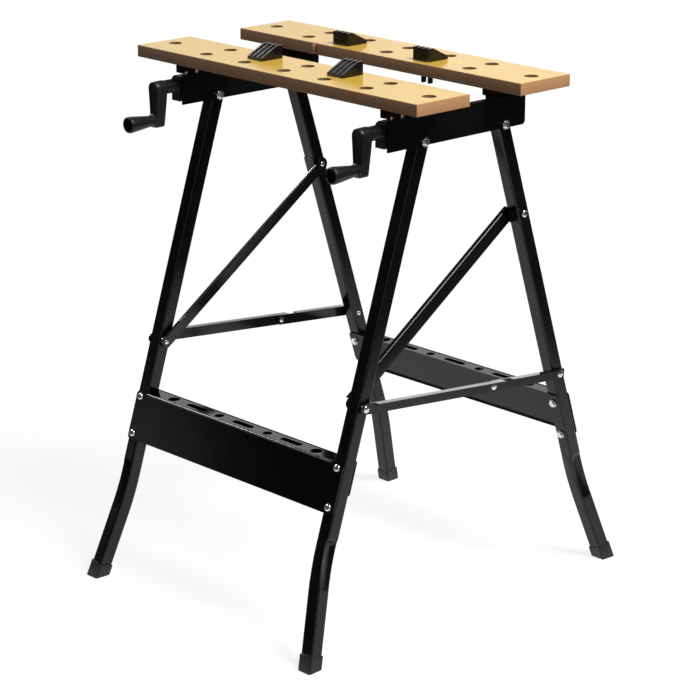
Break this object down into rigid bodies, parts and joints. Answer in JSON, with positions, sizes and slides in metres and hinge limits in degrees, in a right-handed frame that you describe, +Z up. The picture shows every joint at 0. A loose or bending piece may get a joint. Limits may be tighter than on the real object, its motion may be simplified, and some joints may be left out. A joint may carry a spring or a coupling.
{
  "type": "folding workbench",
  "caption": "Folding workbench with a two-board clamping top worked by cranks, wedge pegs in dog holes, splayed square-tube legs and pierced tool panels.",
  "frame": {"origin": "on the floor, midway between the four feet", "axes": "+Z up; +X to the right along the boards, seen from the cranks; the cranks point to -Y"},
  "size_m": [0.6, 0.6566, 0.826],
  "materials": {
    "board_laminate": "smooth light laminate on board",
    "black_paint": "satin black coating",
    "black_plastic": "moulded, low sheen",
    "zinc": "bright zinc plate",
    "screw_steel": "oiled steel thread"
  },
  "bodies": {
    "top_frame": {"bearing_block_left": "black_plastic", "bearing_block_right": "black_plastic", "front_bracket_left": "black_paint", "front_bracket_right": "black_paint", "front_jaw": "board_laminate", "pivot_bolt_front_left": "zinc", "pivot_bolt_front_right": "zinc", "pivot_bolt_rear_left": "zinc", "pivot_bolt_rear_right": "zinc", "rail_left": "black_paint", "rail_right": "black_paint"},
    "body_grip_left": {"grip_left": "black_plastic"},
    "body_grip_right": {"grip_right": "black_plastic"},
    "body_peg_front_left": {"peg_front_left": "black_plastic"},
    "body_peg_front_right": {"peg_front_right": "black_plastic"},
    "body_peg_rear_left": {"peg_rear_left": "black_plastic"},
    "body_peg_rear_right": {"peg_rear_right": "black_plastic"},
    "body_strut_left": {"rivet_strut_left": "zinc", "strut_left": "black_paint"},
    "body_strut_right": {"rivet_strut_right": "zinc", "strut_right": "black_paint"},
    "crank_screw_left": {"crank_left": "black_plastic", "vise_screw_left": "screw_steel"},
    "crank_screw_right": {"crank_right": "black_plastic", "vise_screw_right": "screw_steel"},
    "front_leg_frame": {"foot_front_left": "black_plastic", "foot_front_right": "black_plastic", "leg_front_left": "black_paint", "leg_front_right": "black_paint", "panel_bolt_front_left_lower": "zinc", "panel_bolt_front_left_upper": "zinc", "panel_bolt_front_right_lower": "zinc", "panel_bolt_front_right_upper": "zinc", "rivet_front_left": "zinc", "rivet_front_right": "zinc", "tool_panel_front": "black_paint"},
    "rear_leg_frame": {"foot_rear_left": "black_plastic", "foot_rear_right": "black_plastic", "leg_rear_left": "black_paint", "leg_rear_right": "black_paint", "panel_bolt_rear_left_lower": "zinc", "panel_bolt_rear_left_upper": "zinc", "panel_bolt_rear_right_lower": "zinc", "panel_bolt_rear_right_upper": "zinc", "tool_panel_rear": "black_paint"},
    "sliding_jaw": {"rear_bracket_left": "black_paint", "rear_bracket_right": "black_paint", "rear_jaw": "board_laminate", "vise_nut_left": "black_paint", "vise_nut_right": "black_paint"},
    "stay_front_link_left": {"rivet_stay_middle_left": "zinc", "stay_front_left": "black_paint"},
    "stay_front_link_right": {"rivet_stay_middle_right": "zinc", "stay_front_right": "black_paint"},
    "stay_rear_link_left": {"rivet_stay_rear_left": "zinc", "stay_rear_left": "black_paint"},
    "stay_rear_link_right": {"rivet_stay_rear_right": "zinc", "stay_rear_right": "black_paint"}
  },
  "joints": [
    {"name": "fold_front_legs", "type": "hinge", "parent": "top_frame", "child": "front_leg_frame", "pos_m": [0, -0.082, 0.7305], "axis": [-1, 0, 0], "range_deg": [0, 48]},
    {"name": "fold_rear_legs", "type": "hinge", "parent": "top_frame", "child": "rear_leg_frame", "pos_m": [0, 0.082, 0.7305], "axis": [-1, 0, 0], "range_deg": [0, 77.33]},
    {"name": "strut_pivot_left", "type": "hinge", "parent": "front_leg_frame", "child": "body_strut_left", "pos_m": [-0.2207, -0.19914, 0.36323], "axis": [-1, 0, 0], "range_deg": [-25.42, 0]},
    {"name": "stay_front_pivot_left", "type": "hinge", "parent": "front_leg_frame", "child": "stay_front_link_left", "pos_m": [-0.2207, -0.19914, 0.36323], "axis": [-1, 0, 0], "range_deg": [-62.74, 0]},
    {"name": "stay_middle_pivot_left", "type": "hinge", "parent": "stay_front_link_left", "child": "stay_rear_link_left", "pos_m": [-0.2207, 0.0625, 0.33835], "axis": [-1, 0, 0], "range_deg": [0, 147.72]},
    {"name": "strut_pivot_right", "type": "hinge", "parent": "front_leg_frame", "child": "body_strut_right", "pos_m": [0.2207, -0.19914, 0.36323], "axis": [-1, 0, 0], "range_deg": [-25.42, 0]},
    {"name": "stay_front_pivot_right", "type": "hinge", "parent": "front_leg_frame", "child": "stay_front_link_right", "pos_m": [0.2207, -0.19914, 0.36323], "axis": [-1, 0, 0], "range_deg": [-62.74, 0]},
    {"name": "stay_middle_pivot_right", "type": "hinge", "parent": "stay_front_link_right", "child": "stay_rear_link_right", "pos_m": [0.2207, 0.0625, 0.33835], "axis": [-1, 0, 0], "range_deg": [0, 147.72]},
    {"name": "crank_turn_left", "type": "hinge", "parent": "top_frame", "child": "crank_screw_left", "pos_m": [-0.2207, -0.19, 0.7545], "axis": [0, -1, 0], "range_deg": [-7200, 0]},
    {"name": "crank_turn_right", "type": "hinge", "parent": "top_frame", "child": "crank_screw_right", "pos_m": [0.2207, -0.19, 0.7545], "axis": [0, -1, 0], "range_deg": [-7200, 0]},
    {"name": "jaw_slide", "type": "slide", "parent": "top_frame", "child": "sliding_jaw", "axis": [0, 1, 0], "range_m": [-0.1, 0]},
    {"name": "grip_spin_left", "type": "hinge", "parent": "crank_screw_left", "child": "body_grip_left", "pos_m": [-0.2207, -0.227, 0.707], "axis": [0, -1, 0], "continuous": true},
    {"name": "grip_spin_right", "type": "hinge", "parent": "crank_screw_right", "child": "body_grip_right", "pos_m": [0.2207, -0.227, 0.707], "axis": [0, -1, 0], "continuous": true},
    {"name": "peg_turn_front_left", "type": "hinge", "parent": "top_frame", "child": "body_peg_front_left", "pos_m": [-0.086, -0.0905, 0.806], "axis": [0, 0, 1], "continuous": true},
    {"name": "peg_turn_front_right", "type": "hinge", "parent": "top_frame", "child": "body_peg_front_right", "pos_m": [0.086, -0.0905, 0.806], "axis": [0, 0, 1], "continuous": true},
    {"name": "peg_turn_rear_left", "type": "hinge", "parent": "sliding_jaw", "child": "body_peg_rear_left", "pos_m": [-0.086, 0.0685, 0.806], "axis": [0, 0, 1], "continuous": true},
    {"name": "peg_turn_rear_right", "type": "hinge", "parent": "sliding_jaw", "child": "body_peg_rear_right", "pos_m": [0.086, 0.0685, 0.806], "axis": [0, 0, 1], "continuous": true}
  ],
  "couplings": [
    {"joint": "fold_rear_legs", "follows": "fold_front_legs", "ratio": 1.6108},
    {"joint": "strut_pivot_left", "follows": "fold_front_legs", "ratio": -0.52934},
    {"joint": "stay_front_pivot_left", "follows": "fold_front_legs", "ratio": -1.3069},
    {"joint": "stay_middle_pivot_left", "follows": "fold_front_legs", "ratio": 3.0774},
    {"joint": "strut_pivot_right", "follows": "fold_front_legs", "ratio": -0.52934},
    {"joint": "stay_front_pivot_right", "follows": "fold_front_legs", "ratio": -1.3069},
    {"joint": "stay_middle_pivot_right", "follows": "fold_front_legs", "ratio": 3.0774},
    {"joint": "crank_turn_right", "follows": "crank_turn_left", "ratio": 1},
    {"joint": "jaw_slide", "follows": "crank_turn_left", "m_per_rad": 0.00079577}
  ]
}
